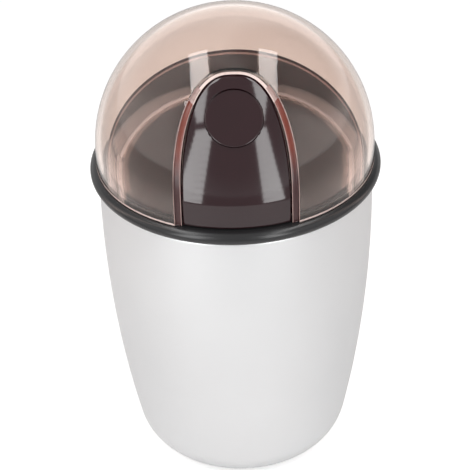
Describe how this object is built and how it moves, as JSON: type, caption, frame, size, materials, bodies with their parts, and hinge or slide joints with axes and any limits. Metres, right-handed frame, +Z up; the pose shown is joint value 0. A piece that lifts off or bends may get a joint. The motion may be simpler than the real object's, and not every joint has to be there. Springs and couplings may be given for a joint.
{
  "type": "electric spice grinder",
  "caption": "Electric spice grinder with a barrel-shaped steel body, dark collar, tinted dome lid, and a thumb button on a front hood that the lid's arched opening clears.",
  "frame": {"origin": "centre of the stand surface, on the body's vertical axis", "axes": "+Z up along the body's axis; -Y faces the front, where the hood and button are"},
  "size_m": [0.095, 0.095, 0.1617],
  "materials": {
    "shell_steel": "satin",
    "black_gloss": "gloss",
    "collar_black": "semi gloss",
    "black_plastic": "matte",
    "tinted_clear": "clear amber-brown tint",
    "bowl_steel": "polished",
    "blade_steel": "ground",
    "spring_steel": "bright",
    "core_steel": "laminated",
    "copper": "enamelled wire",
    "bronze": "sintered",
    "bracket_metal": "cast",
    "carbon": "carbon",
    "blue_plastic": "moulded",
    "pale_plastic": "moulded",
    "red_plastic": "dipped",
    "black_rubber": "matte",
    "magnet": "sintered ferrite"
  },
  "bodies": {
    "base": {"outer_shell": "shell_steel", "collar_ring": "collar_black", "top_deck": "black_plastic", "inner_frame": "black_plastic", "switch_hood": "black_gloss", "hood_back_cover": "black_gloss", "button_guide": "black_plastic", "button_spring": "spring_steel", "micro_switch": "black_plastic", "grinding_bowl": "bowl_steel", "bowl_gasket": "black_rubber", "shaft_seal": "black_rubber", "upper_bearing": "bronze", "upper_bracket": "bracket_metal", "lower_bearing": "bronze", "lower_bracket": "bracket_metal", "stator_core": "core_steel", "field_coils": "copper", "brush_holders": "bronze", "carbon_brushes": "carbon", "brush_springs": "spring_steel", "motor_screws": "spring_steel", "deck_screws": "spring_steel", "rubber_mounts": "black_rubber", "base_plate": "black_plastic", "rubber_feet": "black_rubber", "base_screws": "spring_steel", "cord_inlet": "black_rubber", "cord_clamp": "black_plastic", "terminal_block": "pale_plastic", "thermal_fuse": "pale_plastic", "suppressor_capacitor": "red_plastic", "reed_switch": "blue_plastic"},
    "lid": {"lid": "tinted_clear", "lid_magnet": "magnet"},
    "button": {"push_button": "black_gloss", "switch_plunger": "red_plastic"},
    "rotor": {"drive_shaft": "spring_steel", "blade": "blade_steel", "blade_nut": "blade_steel", "armature_core": "core_steel", "armature_windings": "copper", "commutator": "copper", "cooling_fan": "blue_plastic"}
  },
  "joints": [
    {"name": "lid_lift", "type": "slide", "parent": "base", "child": "lid", "axis": [0, 0, 1], "range_m": [0, 0.08]},
    {"name": "button_press", "type": "slide", "parent": "base", "child": "button", "axis": [0, 0.7431, -0.6691], "range_m": [0, 0.0015], "stiffness_N_per_m": 900, "springref_m": -0.001, "deforming": ["button_spring"]},
    {"name": "rotor_spin", "type": "hinge", "parent": "base", "child": "rotor", "pos_m": [0, 0, 0.08], "axis": [0, 0, 1], "continuous": true}
  ]
}
